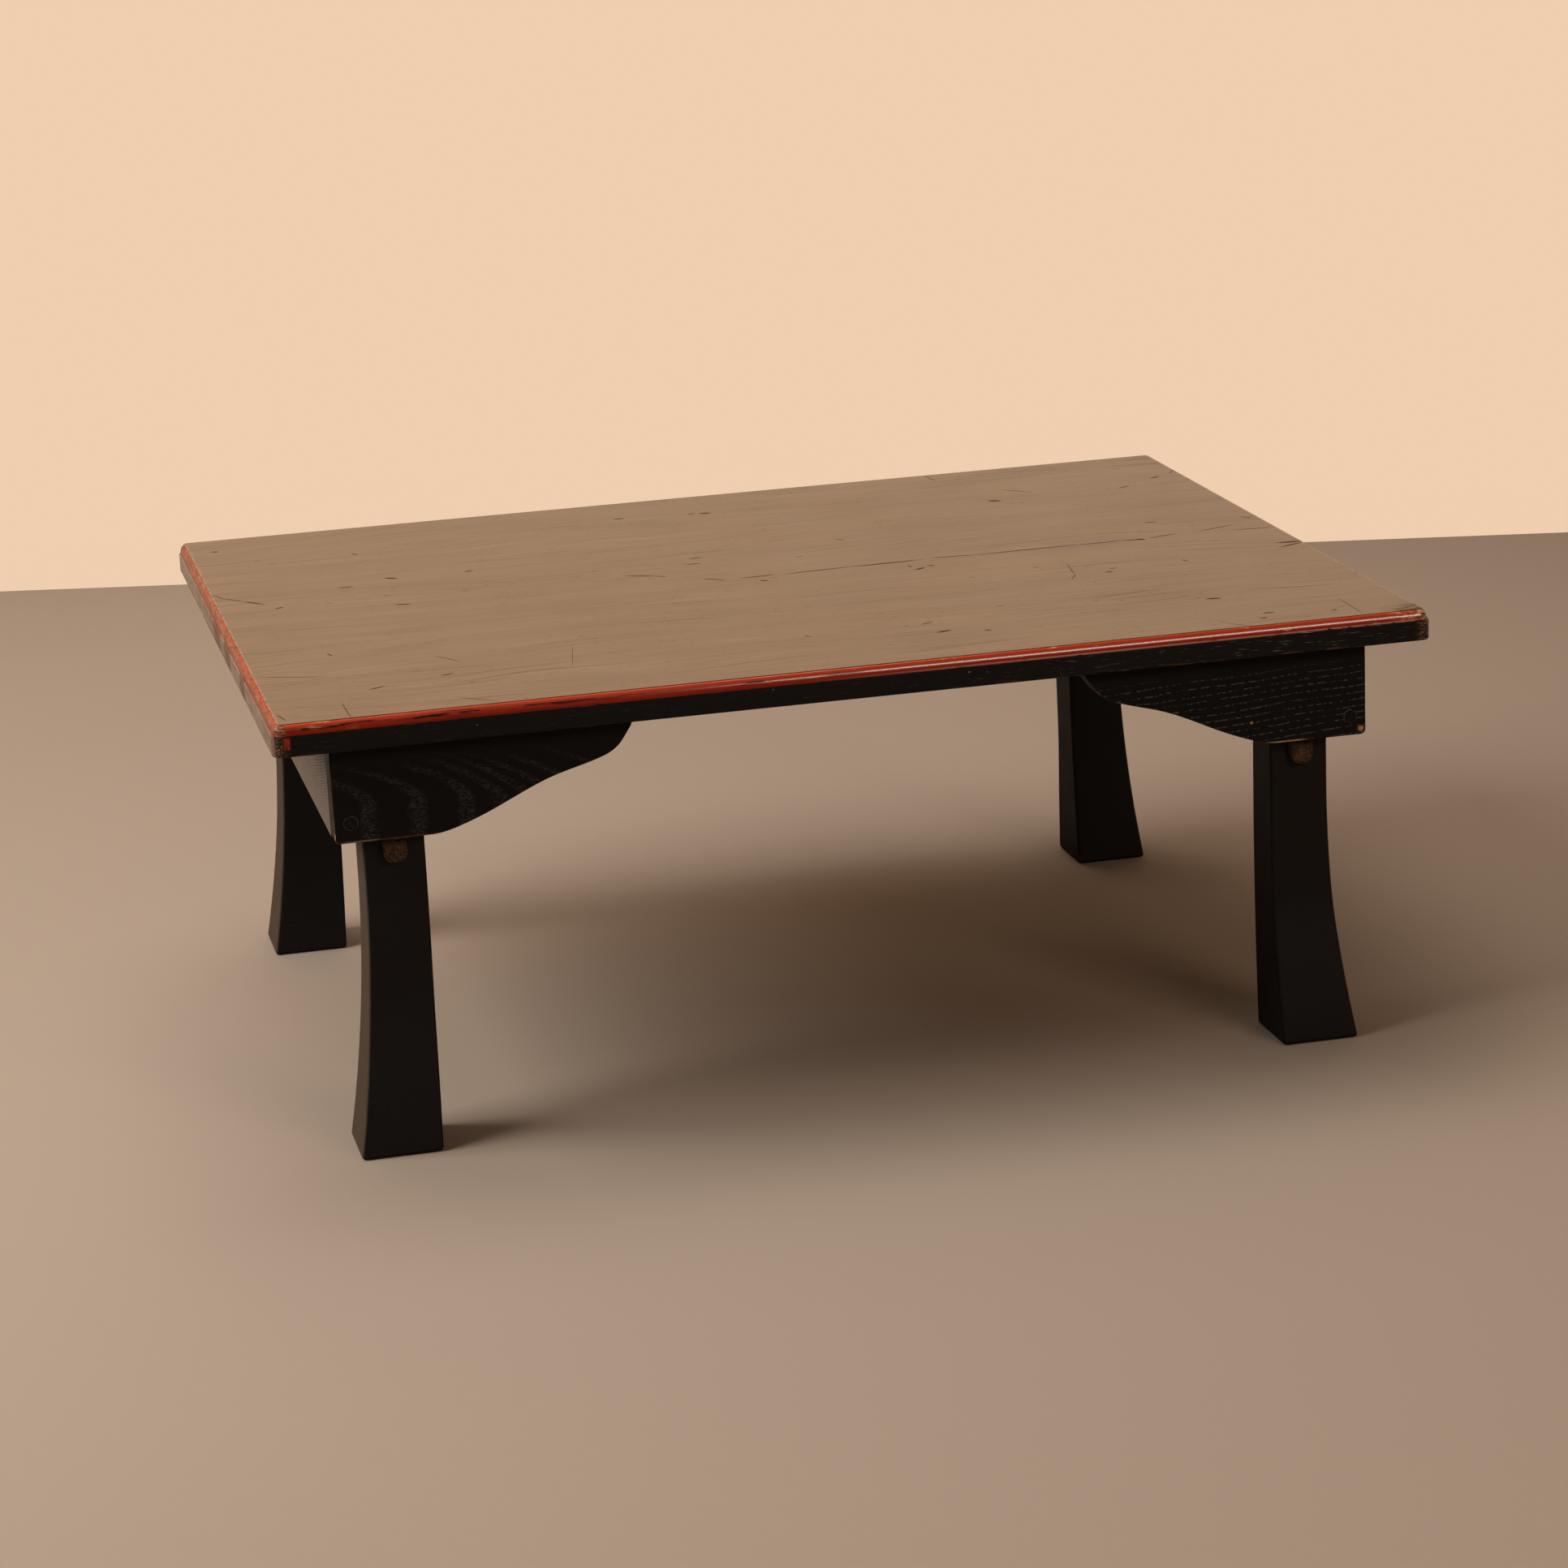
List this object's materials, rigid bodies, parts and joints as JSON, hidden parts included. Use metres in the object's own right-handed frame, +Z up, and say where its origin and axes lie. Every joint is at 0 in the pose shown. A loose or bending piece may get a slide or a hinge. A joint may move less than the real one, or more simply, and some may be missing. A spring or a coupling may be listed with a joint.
{
  "type": "folding low table",
  "caption": "Low rectangular lacquered floor table with ogee brackets, a vermilion edge moulding and leg pairs that fold inwards under the top.",
  "frame": {"origin": "on the floor, under the centre of the top", "axes": "+Z up, +X along the long side, -Y out of the front long side"},
  "size_m": [0.762, 0.579, 0.302],
  "materials": {
    "top_lacquer": "dark lacquer with a vermilion moulding",
    "bracket_lacquer": "thin black lacquer over open grain",
    "rail_lacquer": "thin black lacquer",
    "leg_lacquer": "satin black lacquer",
    "pin_lacquer": "black lacquer over end grain",
    "wedge_wood": "dark end grain",
    "bare_wood": "bare whittled wood",
    "hinge_wood": "bare turned wood"
  },
  "bodies": {
    "frame": {"top_board_front": "top_lacquer", "top_board_back": "top_lacquer", "bracket_front_left": "bracket_lacquer", "bracket_front_right": "bracket_lacquer", "bracket_back_left": "bracket_lacquer", "bracket_back_right": "bracket_lacquer", "end_rail_left": "rail_lacquer", "end_rail_right": "rail_lacquer", "rail_pins_left": "pin_lacquer", "rail_pins_right": "pin_lacquer", "pin_wedges_left": "wedge_wood", "pin_wedges_right": "wedge_wood"},
    "left_legs": {"leg_front_left": "leg_lacquer", "leg_back_left": "leg_lacquer", "cross_rod_left": "bare_wood", "hinge_pins_left": "hinge_wood"},
    "right_legs": {"leg_front_right": "leg_lacquer", "leg_back_right": "leg_lacquer", "cross_rod_right": "bare_wood", "hinge_pins_right": "hinge_wood"}
  },
  "joints": [
    {"name": "left_legs_fold", "type": "hinge", "parent": "frame", "child": "left_legs", "pos_m": [-0.3046, 0, 0.26], "axis": [0, -1, 0], "range_deg": [0, 90]},
    {"name": "right_legs_fold", "type": "hinge", "parent": "frame", "child": "right_legs", "pos_m": [0.3046, 0, 0.26], "axis": [0, 1, 0], "range_deg": [0, 90]}
  ]
}
